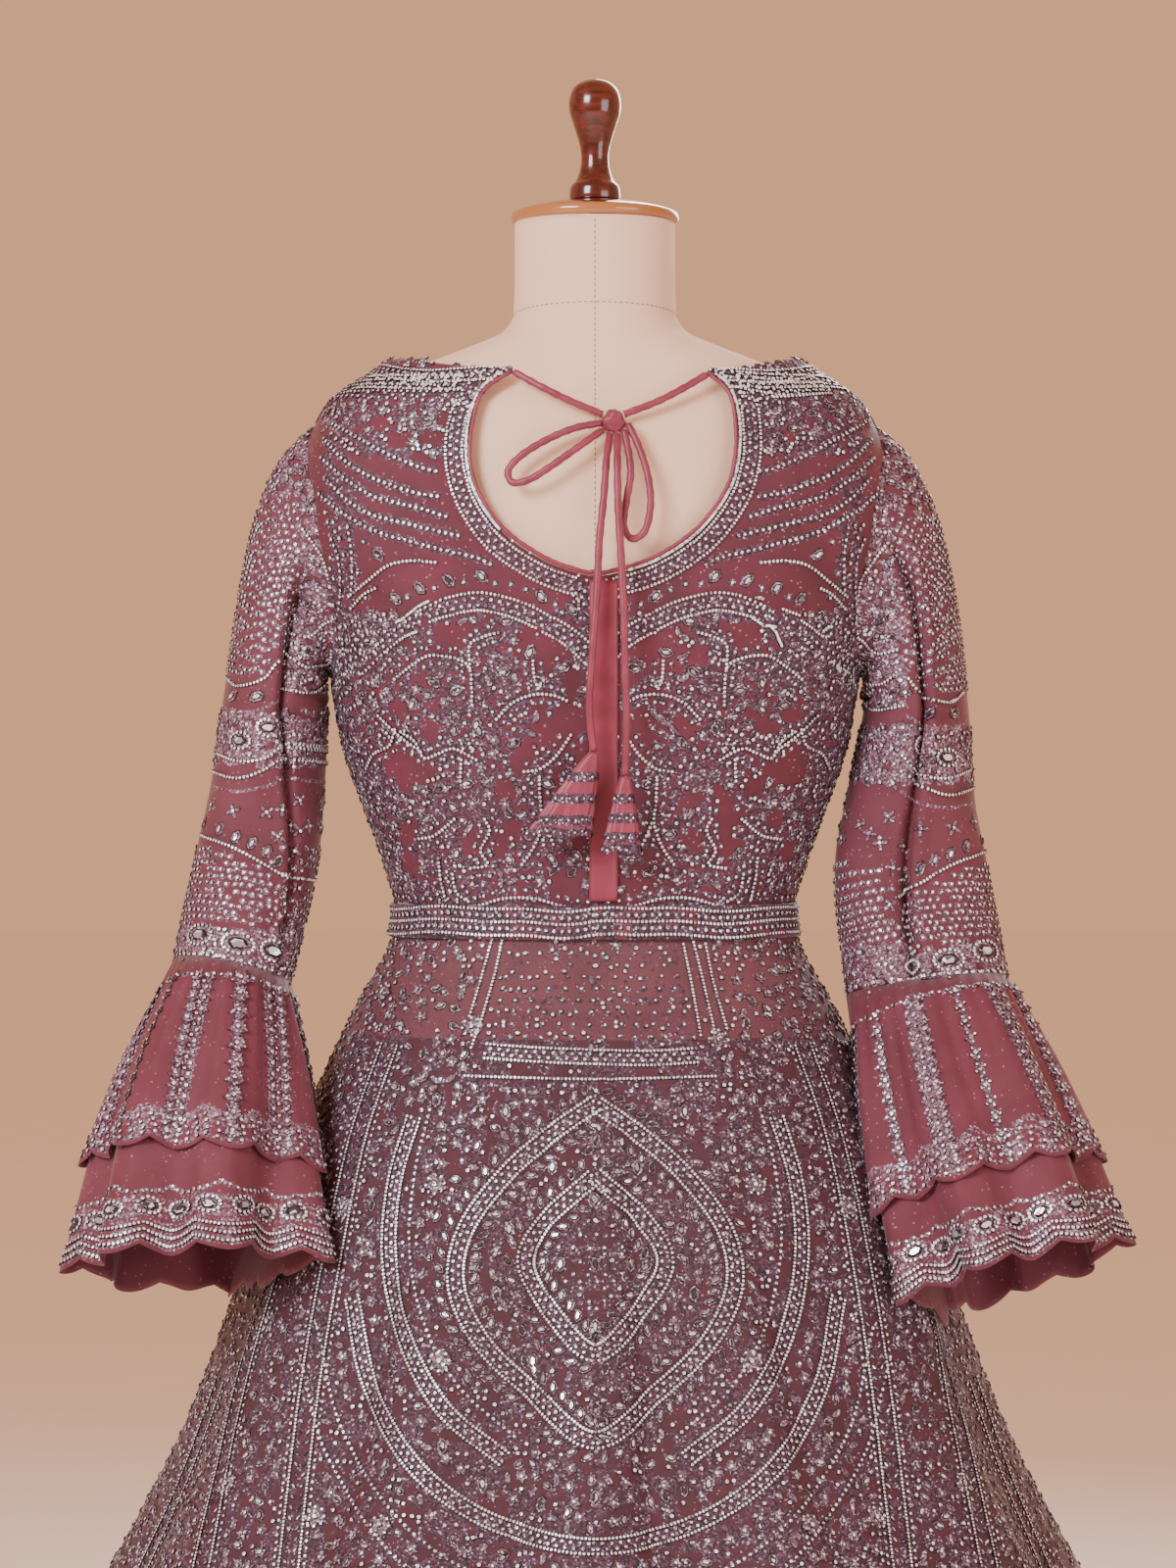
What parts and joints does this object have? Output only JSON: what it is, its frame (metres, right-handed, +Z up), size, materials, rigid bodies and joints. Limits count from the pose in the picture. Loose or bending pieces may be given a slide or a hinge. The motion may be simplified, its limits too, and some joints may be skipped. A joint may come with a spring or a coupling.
{
  "type": "peplum lehenga on a dress form",
  "caption": "Embroidered net blouse with a keyhole back, tiered sleeve flounces and a long flared peplum over a full skirt, worn by a limbless dress form on a stand.",
  "frame": {"origin": "on the floor, on the axis of the stand, at the centre of the underside of the base", "axes": "+Z up; the wearer's back faces -Y and the front +Y; +X is the wearer's right"},
  "size_m": [1.2348, 1.1538, 1.683],
  "materials": {
    "net": "net embroidered with thread, beads and cut stones",
    "satin": "satin",
    "lining": "matte lining under embroidered net",
    "form_cloth": "plain tightly drawn cloth",
    "wood": "gloss varnish",
    "metal": "satin paint"
  },
  "bodies": {
    "root": {"bodice_back_left": "net", "bodice_back_right": "net", "bodice_front": "net", "back_placket": "satin", "neck_binding_left": "satin", "neck_binding_right": "satin", "neck_binding_front": "satin", "sleeve_left": "net", "sleeve_right": "net", "flounce_upper_left": "net", "flounce_upper_right": "net", "flounce_lower_left": "net", "flounce_lower_right": "net", "waist_band": "satin", "peplum_back": "net", "peplum_front": "net", "skirt_back": "lining", "skirt_front": "lining", "dress_form": "form_cloth", "skirt_waistband": "lining", "neck_cap": "wood", "neck_knob": "wood", "stand_base": "metal", "stand_pole": "metal", "tie_strand_left": "satin", "tie_strand_right": "satin", "tie_loop_left": "satin", "tie_loop_right": "satin", "tie_tail_left": "satin", "tie_tail_right": "satin", "tie_knot": "satin", "tie_tassel_left": "satin", "tie_tassel_right": "satin"}
  },
  "joints": []
}
